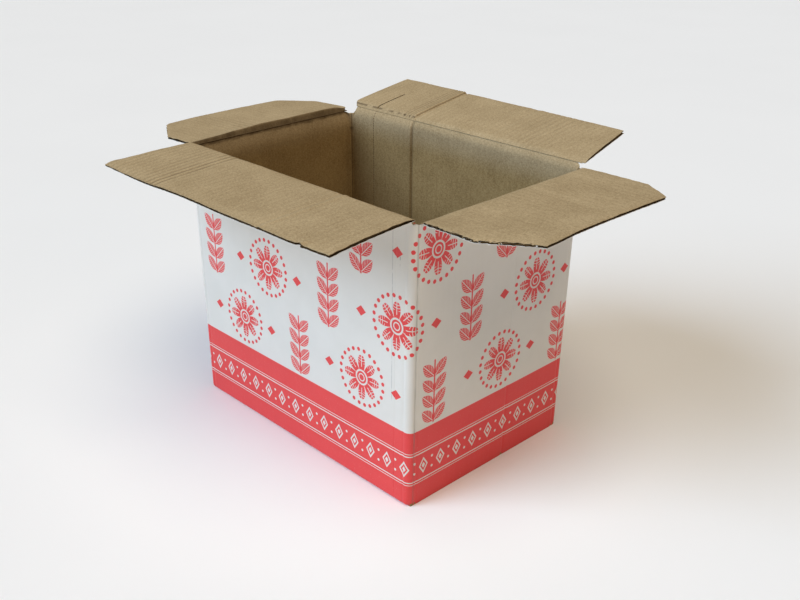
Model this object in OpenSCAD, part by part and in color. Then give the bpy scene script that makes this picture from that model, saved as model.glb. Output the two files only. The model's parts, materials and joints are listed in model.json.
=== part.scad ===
// Single wall carton, open at the top, folded from one sheet of corrugated board.
// The origin is on the floor, in the middle of the walls' footprint. X runs along the long walls.
// The four top flaps are drawn as they hang: each swings about the crease on its wall's outer face.

/* [Carton] */
// Outside length, along X
box_length = 290; // [240:1:340]
// Outside width, along Y
box_width = 201; // [188:1:230]
// Height of the end walls' creases above the floor
end_crease = 250.5; // [150:0.5:320]
// Thickness of the board
board = 3; // [2.6:0.1:3.4]
// Outside radius of the upright folds at the corners
corner_radius = 6.5; // [4:0.5:8]
// Outside radius of the folds along the bottom of the long walls
bottom_radius = 4; // [3:0.5:6]

/* [Flutes] */
// Distance from one flute to the next
flute_pitch = 6.5; // [5.5:0.1:8]
// Thickness of each facing sheet
facing = 0.35; // [0.3:0.05:0.5]
// Thickness of the wavy sheet between the facings
wave_sheet = 0.3; // [0.25:0.05:0.4]
// Depth of the crushed band beside a flap's crease, where the flutes are closed
crushed_band = 7; // [5:1:14]

/* [Long flaps] */
// Depth of the front flap, from crease to free edge
front_depth = 83; // [60:1:90]
// Depth of the back flap, from crease to free edge
back_depth = 76; // [60:1:90]
// Swing of the front flap out from upright, in degrees
front_swing = 93.5; // [60:0.5:150]
// Swing of the back flap out from upright, in degrees
back_swing = 81.5; // [60:0.5:150]
// Gap from the front flap's right end to the corner, less than nothing where the flap stands out
front_right_gap = -2; // [-3:0.5:6]
// Gap from the front flap's left end to the corner
front_left_gap = -0.5; // [-1:0.5:6]
// Gap from the back flap's left end to the corner
back_left_gap = 4; // [1:0.5:6]
// Gap from the back flap's right end to the corner
back_right_gap = 2; // [1:0.5:6]
// How much the back flap's right end draws in towards its free edge
back_taper = 10; // [0:0.5:12]
// Distance of the slit in the back flap from the left corner
slit_place = 37; // [25:1:45]
// Length of the slit, from the crease
slit_length = 43; // [20:1:50]
// Width of the slit
slit_width = 0.8; // [0.6:0.1:1.6]

/* [End flaps] */
// Depth of the left and right flaps, from crease to free edge
end_depth = 91; // [80:0.5:95]
// Swing of the right flap out from upright, in degrees
right_swing = 90; // [60:0.5:150]
// Swing of the left flap out from upright, in degrees
left_swing = 92.5; // [60:0.5:150]
// Gap from an end flap's sides to the corners
end_gap = 4; // [4:0.5:8]
// Extra gap at the right flap's front side
right_front_extra = 2.5; // [0:0.5:5]
// Depth at which the left flap's tapers start, from the crease
left_taper_start = 40; // [35:1:60]
// Depth at which the long taper on the right flap's front side starts
right_taper_start = 52; // [35:1:60]
// How far a long taper draws in at the free edge
long_taper_in = 28; // [10:1:35]
// Depth at which the short taper on the right flap's back side starts
short_taper_start = 65; // [55:1:75]
// How far the short taper draws in at the free edge
short_taper_in = 15; // [5:1:20]

/* [Glued lap] */
// Width of the lap glued inside the back wall, from the left corner
lap_width = 90; // [70:1:110]
// Thickness of the lap, pressed flat
lap = 1.2; // [0.8:0.1:1.4]
// Width of the tear line's groove on the lap
tear_width = 0.8; // [0.6:0.1:1.2]
// Depth of the tear line's groove
tear_depth = 0.5; // [0.3:0.1:0.6]

/* [Bottom] */
// Depth of the end flaps folded in under the load
bottom_end_depth = 89; // [60:1:100]
// Gap between the two long bottom flaps
seam_gap = 1.2; // [0.8:0.1:3]
// Distance of that gap from the middle
seam_place = 3; // [3:0.5:8]
// How far the long bottom flaps stop short of the end walls' faces
bottom_step = 0.8; // [0.4:0.1:2]

/* [Hidden] */
$fn = 48;

// Closed, the long flaps lie over the end flaps and clear them
stack_gap = 0.5;
long_crease = end_crease + board + lap + stack_gap;
// The walls' common top, which is the bottom of the corner slots
ring_top = end_crease - board;
// Round bead of folded paper along each crease, and the room a flap leaves round it
bead = 0.6;
bead_room = 0.25;
mitre_room = 0.4;
half_l = box_length / 2;
half_w = box_width / 2;
inner_radius = max(corner_radius - board, 0.5);
kraft = [0.68, 0.58, 0.42];
printed = [0.93, 0.92, 0.90];

// Height of the wavy sheet's middle line at x, where a wave of length p crests at 0
wave_high = board / 2 - facing - wave_sheet / 2;
function wave(x, p) = board / 2 + wave_high * cos(360 * x / p);

// Share of a wave's length that one open channel takes, and the steps of its curve
channel_share = 0.84;
channel_steps = 8;

// Outline of the channel under the wave (side -1) or over it (side 1), centred on x
function channel(x, p, side) =
    let (half = channel_share * p / 2, level = board / 2 + side * (board / 2 - facing))
    concat(
        [[x - half, level]],
        [for (i = [0:channel_steps])
            let (s = x - half + 2 * half * i / channel_steps)
            [s, wave(s, p) + side * wave_sheet / 2]],
        [[x + half, level]]
    );

// Ends of all the channels of a flap, from one side to the other in whole waves
module channels(low, high) {
    count = round((high - low) / flute_pitch);
    p = (high - low) / count;
    translate([low, 0]) {
        for (k = [0:count]) polygon(channel(k * p, p, -1));
        for (k = [0:count - 1]) polygon(channel((k + 0.5) * p, p, 1));
    }
}

// Rectangle with round corners, about the origin
module rounded(l, w, r) {
    square([l - 2 * r, w], center = true);
    square([l, w - 2 * r], center = true);
    for (sx = [-1, 1], sy = [-1, 1]) {
        translate([sx * (l / 2 - r), sy * (w / 2 - r)]) circle(r = r);
    }
}

// Everything above the 45 degree mitre through the crease, which runs along X through the origin
module above_mitre(length) {
    reach = 8 * board;
    rotate([45, 0, 0])
        translate([-length / 2, -reach, 0])
            cube([length, 2 * reach, reach]);
}

// A flap lying level, with its crease along X through the origin and its outside face down
module flap(outline, low, high, depth) {
    difference() {
        linear_extrude(board) polygon(outline);
        rotate([90, 0, 0])
            translate([0, 0, -depth - 1])
                linear_extrude(depth + 1 - crushed_band) channels(low, high);
        translate([0, mitre_room, 0]) above_mitre(2 * box_length);
        translate([-box_length, 0, 0]) rotate([0, 90, 0]) cylinder(r = bead + bead_room, h = 2 * box_length);
    }
}

// Top of one wall: a strip up to the crease, mitred on the inside, with a bead along the crease
module rim(length, rise) {
    difference() {
        translate([-length / 2, -board, -rise - 2]) cube([length, board, rise + 2]);
        above_mitre(2 * length);
    }
    translate([-length / 2, 0, 0]) rotate([0, 90, 0]) cylinder(r = bead, h = length);
}

// Places a crease's own frame on a wall: turn 0 back, 90 left, 180 front, -90 right
module on_wall(turn, reach, height, swing = 90) {
    rotate([0, 0, turn])
        translate([0, reach, height])
            rotate([90 - swing, 0, 0])
                children();
}

// Walls with upright round folds, and the folded bottom
module walls() {
    difference() {
        intersection() {
            linear_extrude(ring_top) rounded(box_length, box_width, corner_radius);
            rotate([90, 0, 90])
                translate([0, 0, -half_l - 1])
                    linear_extrude(box_length + 2)
                        translate([0, box_width]) rounded(box_width, 2 * box_width, bottom_radius);
        }
        translate([0, 0, board])
            linear_extrude(ring_top)
                rounded(box_length - 2 * board, box_width - 2 * board, inner_radius);
    }
}

// End flaps of the bottom, lying on the long ones
module bottom_ends() {
    for (s = [-1, 1]) {
        translate([s * (half_l - board - bottom_end_depth / 2), 0, board * 1.5])
            cube([bottom_end_depth + 0.4, box_width - 2 * board - 4, board + 0.02], center = true);
    }
}

// Lap glued inside the back wall, with a sloped free edge
module wall_lap() {
    left = -half_l + board;
    face = half_w - board;
    difference() {
        translate([0, 0, board])
            linear_extrude(long_crease - board)
                polygon([
                    [left - 0.4, face - lap],
                    [left - 0.4, face + 0.2],
                    [-half_l + lap_width, face + 0.2],
                    [-half_l + lap_width, face],
                    [-half_l + lap_width - lap, face - lap]
                ]);
        translate([0, half_w, long_crease]) above_mitre(2 * box_length);
        translate([-half_l, half_w - 2 * corner_radius, ring_top])
            cube([corner_radius, 2 * corner_radius, 3 * board]);
    }
}

module box_body() {
    color(printed) difference() {
        union() {
            walls();
            bottom_ends();
            wall_lap();
            for (turn = [0, 180]) {
                on_wall(turn, half_w, long_crease) rim(box_length - 2 * corner_radius, long_crease - ring_top);
            }
            for (turn = [90, -90]) {
                on_wall(turn, half_l, end_crease) rim(box_width - 2 * corner_radius, end_crease - ring_top);
            }
        }
        // Seam between the long bottom flaps
        translate([-half_l - 1, seam_place, -1]) cube([box_length + 2, seam_gap, board + 1]);
        // The long bottom flaps stop a little short of the end walls' faces
        for (s = [-1, 1]) {
            translate([s * half_l, 0, 0]) cube([2 * bottom_step, 2 * box_width, 2 * board - 0.4], center = true);
        }
        // Tear line down the lap
        translate([-half_l + slit_place - tear_width / 2, half_w - board - lap - 1, 2 * board])
            cube([tear_width, 1 + tear_depth, long_crease]);
    }
}

module front_flap() {
    low = -half_l + front_right_gap;
    high = half_l - front_left_gap;
    color(kraft)
        on_wall(180, half_w, long_crease, front_swing)
            flap([[low, 0], [high, 0], [high, front_depth], [low, front_depth]], low, high, front_depth);
}

module back_flap() {
    low = -half_l + back_left_gap;
    high = half_l - back_right_gap;
    edge = -half_l + lap_width;
    color(kraft)
        on_wall(0, half_w, long_crease, back_swing)
            difference() {
                union() {
                    flap([[low, 0], [high, 0], [high - back_taper, back_depth], [low, back_depth]],
                        low, high, back_depth);
                    // The lap goes on over the flap
                    difference() {
                        rotate([90, 0, 0])
                            translate([0, 0, -back_depth])
                                linear_extrude(back_depth)
                                    polygon([
                                        [low, board - 0.1],
                                        [edge, board - 0.1],
                                        [edge, board],
                                        [edge - lap, board + lap],
                                        [low, board + lap]
                                    ]);
                        translate([0, mitre_room, 0]) above_mitre(2 * box_length);
                    }
                }
                translate([-half_l + slit_place - slit_width / 2, -1, -1])
                    cube([slit_width, slit_length + 1, board + lap + 2]);
            }
}

module right_flap() {
    low = -half_w + end_gap;
    high = half_w - end_gap - right_front_extra;
    color(kraft)
        on_wall(-90, half_l, end_crease, right_swing)
            flap([
                [low, 0], [high, 0], [high, right_taper_start], [high - long_taper_in, end_depth],
                [low + short_taper_in, end_depth], [low, short_taper_start]
            ], low, high, end_depth);
}

module left_flap() {
    low = -half_w + end_gap;
    high = half_w - end_gap - lap;
    color(kraft)
        on_wall(90, half_l, end_crease, left_swing)
            flap([
                [low, 0], [high, 0], [high, left_taper_start], [high - long_taper_in, end_depth],
                [low + long_taper_in, end_depth], [low, left_taper_start]
            ], low, high, end_depth);
}

box_body();
front_flap();
back_flap();
right_flap();
left_flap();
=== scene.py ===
# %% [markdown]
# # An open single wall carton
#
# A carton is one sheet of corrugated board, cut, creased, folded and glued. What makes it look real is
# not its outline, which is a box, but the board: two facing sheets with a wavy sheet between them, brown
# inside and printed outside, bent over at the creases and cut open at the flaps' edges. This lesson
# builds those sheets as surfaces of two parameters, worked out with numpy, and paints them with shader
# maths.

# %% The frame
import json
import math

import bmesh
import bpy
import numpy as np
from mathutils import Matrix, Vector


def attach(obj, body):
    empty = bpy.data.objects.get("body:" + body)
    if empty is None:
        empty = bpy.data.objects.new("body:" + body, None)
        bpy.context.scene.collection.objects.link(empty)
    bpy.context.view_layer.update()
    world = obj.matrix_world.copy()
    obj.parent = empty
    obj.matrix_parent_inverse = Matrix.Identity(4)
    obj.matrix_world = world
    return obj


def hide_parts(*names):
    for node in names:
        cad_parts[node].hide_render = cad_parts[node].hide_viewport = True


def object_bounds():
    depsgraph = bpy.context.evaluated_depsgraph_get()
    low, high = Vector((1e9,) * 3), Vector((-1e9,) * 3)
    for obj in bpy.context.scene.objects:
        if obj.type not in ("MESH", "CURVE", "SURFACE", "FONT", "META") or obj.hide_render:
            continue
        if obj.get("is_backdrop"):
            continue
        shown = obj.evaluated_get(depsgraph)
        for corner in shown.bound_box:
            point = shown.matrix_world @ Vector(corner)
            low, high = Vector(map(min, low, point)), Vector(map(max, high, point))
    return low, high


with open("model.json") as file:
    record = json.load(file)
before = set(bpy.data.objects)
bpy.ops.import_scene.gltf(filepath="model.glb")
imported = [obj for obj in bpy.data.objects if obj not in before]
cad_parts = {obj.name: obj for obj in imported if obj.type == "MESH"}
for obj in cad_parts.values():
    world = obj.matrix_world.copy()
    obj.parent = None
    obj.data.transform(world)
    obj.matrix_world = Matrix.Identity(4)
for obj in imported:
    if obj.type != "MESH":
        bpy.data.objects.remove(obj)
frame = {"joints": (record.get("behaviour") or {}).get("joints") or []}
cad_low, cad_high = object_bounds()

# %% [markdown]
# ## Sizes
#
# All shapes below are worked out in millimetres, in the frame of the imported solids: the origin is on the
# floor in the middle of the box, X runs along the long walls and Y from the front wall to the back. The
# heights and places of the creases come from the joints, so that the surfaces turn about the same lines
# as the solids do.

# %% Sizes of the carton
MM = 0.001
CREASE = {j["child"]: np.array(j["pos_m"]) / MM for j in frame["joints"]}
HALF_L, HALF_W = CREASE["right"][0], CREASE["back"][1]
LENGTH, WIDTH = 2 * HALF_L, 2 * HALF_W
LONG_CREASE, END_CREASE = CREASE["front"][2], CREASE["right"][2]
BOARD, FACING, WAVE = 3.0, 0.35, 0.3  # thickness of the board, of a facing and of the wavy sheet
PITCH = 6.5  # from one flute to the next
CORNER = 6.5  # radius of the upright folds
RING_TOP = END_CREASE - BOARD  # height of the walls in the slots
LAP, LAP_WIDTH, GROOVE = 1.2, 90.0, 1.1  # the glued lap, and its groove's distance from its edge
TEAR, SLIT_LENGTH = 37.0, 43.0  # the tear line's distance from the back left corner, and its slit's length
BAND = 73.0  # height of the red band
print("outside %.0f by %.0f mm, creases at %.1f and %.1f mm" % (LENGTH, WIDTH, LONG_CREASE, END_CREASE))

# %% [markdown]
# ## Camera
#
# The picture was taken with a hand-held camera a metre from the box and cropped afterwards, so the lens
# axis is not in the middle of the picture. A small lens shift stands for that crop. The angles and the
# distance come from matching the box's corners.

# %% Camera
FOCUS_PX, CENTRE_PX, PICTURE_PX = 963.3, (360.0, 380.0), (800.0, 600.0)
TURN, RISE, ROLL = math.radians(47.91), math.radians(29.15), math.radians(-0.58)
OFFSET = np.array([17.42, -23.65, -965.63])


def put_in_scene(name, data, axes, at=(0.0, 0.0, 0.0)):
    """A new object in the scene with these axes, as columns, and this place in metres."""
    thing = bpy.data.objects.new(name, data)
    bpy.context.scene.collection.objects.link(thing)
    thing.matrix_world = Matrix([[*row, x] for row, x in zip(axes, at)] + [[0, 0, 0, 1]])
    return thing


back = np.array([math.sin(TURN) * math.cos(RISE), -math.cos(TURN) * math.cos(RISE), math.sin(RISE)])
right = np.array([math.cos(TURN), math.sin(TURN), 0.0])
up = np.cross(back, right)
right, up = math.cos(ROLL) * right + math.sin(ROLL) * up, math.cos(ROLL) * up - math.sin(ROLL) * right
axes = np.stack([right, up, back], 1)
eye = -(axes @ OFFSET) * MM

lens = bpy.data.cameras.new("camera")
lens.sensor_width = 36.0
lens.lens = 36.0 * FOCUS_PX / PICTURE_PX[0]
lens.shift_x = (PICTURE_PX[0] / 2 - CENTRE_PX[0]) / PICTURE_PX[0]
lens.shift_y = (CENTRE_PX[1] - PICTURE_PX[1] / 2) / PICTURE_PX[0]
lens.clip_start = 0.01
bpy.context.scene.camera = put_in_scene("camera", lens, axes, eye)
print("camera at", np.round(eye, 3), "m, lens %.1f mm" % lens.lens)

# %% [markdown]
# ## Finishes: a short way to write shader maths
#
# A material is a graph of nodes, and a long graph is hard to read when every link is a line of code. The
# small class below wraps one socket and overloads the arithmetic operators, so `1 - mask * 0.5` adds the
# Math nodes by itself. All other nodes come from one method, `node`, that takes a type, its settings and
# its inputs.


# %% Sockets that do sums
class Wire:
    """One output socket. Sums on it add Math nodes to its material."""

    def __init__(self, finish, socket):
        self.finish, self.socket = finish, socket

    def below(self, edge, soft):
        """1 where the value is under edge, 0 where it is over, with a ramp of width soft between."""
        ends = {"From Min": edge - soft / 2, "From Max": edge + soft / 2, "To Min": 1.0, "To Max": 0.0}
        step = {"interpolation_type": "SMOOTHSTEP"}
        return self.finish.node("ShaderNodeMapRange", step, {"Value": self, **ends})


def add_sum(name, operation, turned=False):
    """Gives Wire a method that adds one Math node. Turned puts the wire after the other value."""
    def method(self, *others):
        terms = [*others, self] if turned else [self, *others]
        return self.finish.node("ShaderNodeMath", {"operation": operation}, terms)

    setattr(Wire, name, method)


SUMS = {
    "__add__": "ADD", "__radd__": "ADD", "__sub__": "SUBTRACT", "__mul__": "MULTIPLY",
    "__truediv__": "DIVIDE", "__pow__": "POWER", "__abs__": "ABSOLUTE", "floor": "FLOOR", "fract": "FRACT",
    "sqrt": "SQRT", "sin": "SINE", "cos": "COSINE", "least": "MINIMUM", "most": "MAXIMUM",
}
for name, operation in SUMS.items():
    add_sum(name, operation)
add_sum("__rsub__", "SUBTRACT", turned=True)


class Finish:
    """A material under construction, around one Principled shader."""

    def __init__(self, name):
        self.material = bpy.data.materials.new(name)
        self.material.use_nodes = True
        self.tree = self.material.node_tree
        self.tree.nodes.clear()
        self.end = self.tree.nodes.new("ShaderNodeOutputMaterial")
        self.shader = self.tree.nodes.new("ShaderNodeBsdfPrincipled")
        self.tree.links.new(self.shader.outputs["BSDF"], self.end.inputs["Surface"])

    def put(self, socket, value):
        if isinstance(value, Wire):
            self.tree.links.new(value.socket, socket)
        elif value is not None:
            size = len(socket.default_value) if hasattr(socket.default_value, "__len__") else 0
            socket.default_value = (*value, 1.0) if size == 4 and len(value) == 3 else value

    def node(self, kind, settings=None, inputs=(), output=0):
        """Adds a node: its settings first, then the values or links of its sockets, by place or by name."""
        made = self.tree.nodes.new(kind)
        for name, value in (settings or {}).items():
            setattr(made, name, value)
        for key, value in inputs.items() if isinstance(inputs, dict) else enumerate(inputs):
            self.put(made.inputs[key], value)
        return Wire(self, made.outputs[output])

    def mix(self, amount, first, second):
        """Colour mix: first where amount is 0, second where it is 1. The colours are sockets 6 and 7."""
        return self.node("ShaderNodeMix", {"data_type": "RGBA"}, {0: amount, 6: first, 7: second}, 2)

    def noise(self, where, scale, detail=2.0, rough=0.5):
        inputs = {"Vector": where, "Scale": scale, "Detail": detail, "Roughness": rough}
        return self.node("ShaderNodeTexNoise", None, inputs)

    def stretch(self, where, x, y, z):
        return self.node("ShaderNodeMapping", None, {"Vector": where, "Scale": (x, y, z)})

    def split(self, where):
        """The three numbers of a vector."""
        made = self.tree.nodes.new("ShaderNodeSeparateXYZ")
        self.put(made.inputs[0], where)
        return [Wire(self, o) for o in made.outputs]

    def bump(self, height, depth, strength, under=None):
        inputs = {"Height": height, "Distance": depth, "Strength": strength, "Normal": under}
        return self.node("ShaderNodeBump", None, inputs)

    def maps(self):
        """The flat map and the piece's own coordinates, both in metres."""
        flat = self.node("ShaderNodeUVMap", {"uv_map": "flat"})
        return flat, self.node("ShaderNodeTexCoord", None, (), "Object")

    def darken(self, colour, dark, more=0.0):
        """Colour turned to dark by the painted shade stored on the mesh, or by more where that is greater.
        """
        wear = self.node("ShaderNodeAttribute", {"attribute_name": "wear"}, (), "Fac")
        return self.mix(wear.most(more).least(1.0), colour, dark)

    def set(self, **sockets):
        for name, value in sockets.items():
            self.put(self.shader.inputs[name.replace("_", " ")], value)
        return self.material


def srgb(r, g, b):
    """The linear colour of an 8 bit screen colour."""
    c = np.array([r, g, b]) / 255.0
    return tuple(float(v) for v in np.where(c <= 0.04045, c / 12.92, ((c + 0.055) / 1.055) ** 2.4))


print("finishes are written with", Wire.__name__, "and", Finish.__name__)

# %% [markdown]
# ## Brown paper
#
# The inside facing is unbleached paper made from old boxes: a greyish brown with soft clouds, short
# fibres that lie along the machine's direction, and dark specks. Every facing also shows the flutes under
# it as faint stripes, because the paper sinks a little between the lines where it is glued; on the brown
# facings the stripes are bumps and also painted shade in the colour. The paper reads the piece's flat
# map, in metres along and across the flutes, so that fibres and stripes follow the sheet round its folds.


# %% Brown paper
def brown_paper(name, light, dark, stripe, inside=False):
    """Brown facing: clouds and fibres mix the two browns, specks darken, flute lines lift the normal and
    paint faint shade into the colour.

    The inside paper is painted darker and browner below its top edge, as shade inside the box, and the
    tear line's slits are painted as dark dashes of shade.
    """
    f = Finish(name)
    flat, solid = f.maps()
    along, up, _ = f.split(flat)
    clouds = f.noise(solid, 30.0, 3.0)
    grain = f.noise(solid, 700.0, 3.0, 0.7)
    fibre = f.noise(f.stretch(flat, 380.0, 2300.0, 1.0), 1.0, 2.0, 0.6)
    flute = (along * (2 * math.pi / (PITCH * MM))).cos()
    patchy = f.noise(solid, 16.0, 1.0)
    # The flute term paints faint shade into the tone where the paper sinks between its glue lines.
    tone = (clouds - 0.5) * 0.6 + (grain - 0.5) * 1.5 + (fibre - 0.5) * 0.9 + flute * stripe * patchy + 0.5
    tone = tone.most(0.0).least(1.0)
    speck = f.noise(solid, 560.0, 1.0).below(0.26, 0.05) * 0.4
    pale = (1 - f.noise(f.stretch(flat, 700.0, 2600.0, 1.0), 1.0, 1.0).below(0.72, 0.08)) * 0.35
    colour = f.mix(speck, f.mix(tone, dark, light), srgb(86, 68, 44))
    colour = f.mix(pale, colour, srgb(206, 191, 160))
    painted_cut_shade = 0.0
    if inside:
        # Painted shade: below its top edge the inside turns to a darker brown, and the tear line's slits
        # are dark dashes.
        painted_shade_brown = f.mix(tone, srgb(119, 94, 55), srgb(173, 147, 101))
        colour = f.mix(up.below(236 * MM, 26 * MM), colour, painted_shade_brown)
        line = abs(along - TEAR_AT * MM).below(0.5 * MM, 0.5 * MM)
        painted_cut_shade = line * (up / (2.4 * MM)).fract().below(0.6, 0.3) * 0.7
    colour = f.darken(colour, srgb(70, 54, 33), painted_cut_shade)
    relief = f.bump(flute * patchy, 0.00012, stripe * 4.0)
    relief = f.bump(grain + fibre * 0.6, 0.00006, 0.7, relief)
    return f.set(Base_Color=colour, Roughness=0.88 - grain * 0.1, Normal=relief, Specular_IOR_Level=0.2)


AROUND = 2 * (LENGTH + WIDTH) - 8 * CORNER + 2 * math.pi * CORNER
TEAR_AT = AROUND - math.pi * CORNER / 2 - TEAR + CORNER
brown = brown_paper("brown_facing", srgb(193, 171, 134), srgb(137, 116, 83), stripe=0.07)
inner = brown_paper("brown_inside", srgb(193, 171, 134), srgb(137, 116, 83), stripe=0.05, inside=True)
# The wavy sheet's brown is painted much darker than real, as the shade between the facings; the facings'
# sides towards it take it too.
wave_brown_and_shade = brown_paper("brown_wave_and_shade", srgb(104, 82, 51), srgb(62, 46, 26), stripe=0.0)
print("brown papers:", brown.name, inner.name, wave_brown_and_shade.name)

# %% [markdown]
# ## Printed paper
#
# The outside facing is bleached on its face and printed in one red. Flat maps in metres make the print
# simple to draw: along runs round the box and up is height. The band at the bottom is everything under
# one height, with a frieze of lozenges and dots left white. Above it stands an upright brick pattern of
# two plain ornaments, a sprig with paired leaves and a rosette in a ring of dots. Each is a few lines of
# geometry: a leaf is where the distance from its middle line is less than a curve, and a rosette is where
# the radius is less than a wave of the angle. Soft paper takes ink unevenly, so the ink is clouded.


# %% Ornaments
CELLS = 12
CELL_W, CELL_H = AROUND / CELLS, 61.0


def leaf(a, b, length, width):
    """Leaf along a from 0 to length: half its width is a parabola, zero at both tips. Ribs stay white."""
    share = a / length
    half = share * (1 - share) * 4.0 * width
    side = abs(b)
    vein = side.below(0.38, 0.3)
    ribs = ((a - side * 1.1) / 2.6).fract().below(0.2, 0.16) * (1 - side.below(1.1, 0.4))
    return (side - half).below(0.0, 0.5) * (1 - vein.most(ribs))


def sprig(x, y):
    """Upright stem with leaves in pairs: height repeats, sides mirror, and leaves rise at 45 degrees."""
    step, tall = 14.0, 28.0
    rise = ((y + tall) / step).fract() * step
    reach = abs(x)
    a, b = (reach + rise) * 0.7071, (rise - reach) * 0.7071
    leaves = leaf(a, b, 19.0, 5.0) * abs(y).below(tall, 0.3)
    stem = reach.below(0.8, 0.4) * abs(y).below(29.0, 0.5)
    return leaves.most(stem)


def rosette(f, x, y):
    """Eight petals, a ringed heart and a ring of dots, all by radius and angle."""
    radius = (x * x + y * y).sqrt()
    angle = f.node("ShaderNodeMath", {"operation": "ARCTAN2"}, [y, x])
    swing = abs((angle * 4.0).cos())
    petal = (radius - (swing ** 0.4) * 21.0).below(0.0, 0.6) * (1 - radius.below(7.2, 0.5))
    line = abs((angle * 4.0).sin() * radius * 0.25).below(0.36, 0.25) * (1 - radius.below(10.0, 0.5))
    notch = ((radius + swing * 3.0) / 2.6).fract().below(0.22, 0.16) * (1 - radius.below(13.5, 0.5))
    heart = radius.below(5.6, 0.5) * (1 - abs(radius - 3.2).below(0.5, 0.3))
    dots, far = 24, 25.5
    apart = 2 * math.pi * far / dots
    around = ((angle * (dots / (2 * math.pi))).fract() - 0.5) * apart
    ring = (around * around + (radius - far) * (radius - far)).sqrt().below(1.8, 0.4)
    return (petal * (1 - line.most(notch))).most(heart).most(ring)


def frieze(along, height):
    """White shapes on the band: lozenges with small dots between them, inside two thin rules."""
    pitch = AROUND / 48
    x = ((along / pitch).fract() - 0.5) * pitch
    y = height - 37.0
    lozenge = abs(x) * 1.15 + abs(y) * 0.75
    shape = lozenge.below(6.0, 0.5) * (1 - lozenge.below(4.2, 0.4)) + lozenge.below(2.2, 0.4)
    side = pitch / 2 - abs(x)
    dots = (side * side + (abs(y) - 5.0) * (abs(y) - 5.0)).sqrt().below(1.2, 0.4)
    rules = abs(abs(y) - 13.0).below(0.5, 0.3).most(abs(abs(y) - 15.5).below(0.3, 0.25))
    return shape.most(dots).most(rules)


print("ornaments in %d cells of %.1f by %.0f mm" % (CELLS, CELL_W, CELL_H))


# %% Printed paper
RED, DEEP_RED = srgb(226, 58, 58), srgb(216, 46, 48)
PAPER, DULL_PAPER = srgb(221, 217, 209), srgb(211, 207, 198)
NEAR_FOLD = WIDTH + LENGTH - 4 * CORNER + math.pi * CORNER / 2


def printed_paper(name):
    """White facing with red ink: a band by height, ornaments in brick cells above, two faint marks, and
    painted shade from the mesh along the score lines.
    """
    f = Finish(name)
    flat, solid = f.maps()
    along, height, _ = f.split(flat)
    along, height = along * 1000.0, height * 1000.0
    fuzz = f.noise(solid, 1400.0, 2.0) - 0.5
    up = (height - BAND - 0.5) / CELL_H
    row = up.floor()
    shift = along / CELL_W + row * 0.5 + 0.25
    x = (shift.fract() - 0.5) * CELL_W + fuzz * 0.5
    y = (up.fract() - 0.5) * CELL_H + fuzz * 0.5
    odd = ((shift.floor() + row) * 0.5).fract().below(0.25, 0.01)
    motif = sprig(x, y) * odd + rosette(f, x, y) * (1 - odd)
    gem = ((CELL_W / 2 - abs(x)) * 0.8 + abs(y)).below(4.6, 0.5)
    above = 1 - height.below(BAND, 0.5)
    band = (1 - above) * (1 - frieze(along + fuzz * 0.4, height + fuzz * 0.4))
    ink = (motif.most(gem) * above).most(band)
    thin = 1 - f.noise(solid, 700.0, 3.0, 0.7).below(0.33, 0.12) * 0.12
    red = f.mix(f.noise(solid, 26.0, 3.0), DEEP_RED, RED)
    paper = f.mix(f.noise(solid, 45.0, 3.0), DULL_PAPER, PAPER)
    colour = f.mix(ink * 0.97 * thin, paper, red)
    scar = abs(along - (NEAR_FOLD - 15.0)).below(0.28, 0.3) * abs(height - 171.0).below(73.0, 6.0)
    ticks = abs(along - (NEAR_FOLD - 7.0)).below(0.4, 0.4) * abs(abs(height - 219.0) - 3.0).below(1.4, 0.8)
    scuff_and_shade = f.noise(solid, 160.0, 2.0).below(0.6, 0.2)
    colour = f.mix((scar * 0.4 + ticks * 0.5) * scuff_and_shade, colour, srgb(96, 92, 100))
    # Painted shade from the mesh darkens the score lines in the upright folds.
    colour = f.darken(colour, srgb(128, 122, 116))
    wash = (along * (2 * math.pi / PITCH)).cos()
    relief = f.bump(wash, 0.00003, 0.3)
    relief = f.bump(f.noise(solid, 1500.0, 2.0), 0.00003, 0.5, relief)
    return f.set(Base_Color=colour, Roughness=0.55 - ink * 0.08, Normal=relief, Specular_IOR_Level=0.35)


def white_paper(name):
    """Bleached facing with no print, as on the flaps' outsides and the bottom."""
    f = Finish(name)
    flat, solid = f.maps()
    along, _, _ = f.split(flat)
    wash = (along * (2 * math.pi / (PITCH * MM))).cos()
    colour = f.mix(f.noise(solid, 45.0, 3.0), DULL_PAPER, PAPER)
    relief = f.bump(wash, 0.00006, 0.5)
    relief = f.bump(f.noise(solid, 1500.0, 2.0), 0.00003, 0.5, relief)
    return f.set(Base_Color=colour, Roughness=0.55 + wash * 0.01, Normal=relief, Specular_IOR_Level=0.4)


printed = printed_paper("printed_facing")
white = white_paper("white_facing")
print("printed papers:", printed.name, "with", len(printed.node_tree.nodes), "nodes,", white.name)

# %% [markdown]
# ## Surfaces from arrays
#
# Every piece is made of sheets, and a sheet is two grids of points, its upper and its lower skin, with a
# wall wherever the sheet ends. The wall is found from the grid itself: an edge that belongs to only one
# square is on the rim. So a sheet can have a slit or a bite taken out of it just by leaving squares out.


# %% Sheets and meshes
def squares(rows, cols):
    """Corner numbers of every square of a grid, one row of four per square."""
    n = np.arange(rows * cols).reshape(rows, cols)
    return np.stack([n[:-1, :-1], n[:-1, 1:], n[1:, 1:], n[1:, :-1]], -1).reshape(-1, 4)


def sheet_faces(rows, cols, keep=None):
    """Kept squares above, the same turned over below, and a wall along every edge that is used once."""
    top = squares(rows, cols)
    if keep is not None:
        top = top[keep.ravel()]
    n = rows * cols
    edges = np.concatenate([top[:, [i, (i + 1) % 4]] for i in range(4)])
    key = np.sort(edges, 1)
    _, first, count = np.unique(key, axis=0, return_index=True, return_counts=True)
    rim = edges[first[count == 1]]
    wall = np.stack([rim[:, 1], rim[:, 0], rim[:, 0] + n, rim[:, 1] + n], 1)
    return top, top[:, ::-1] + n, wall


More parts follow.
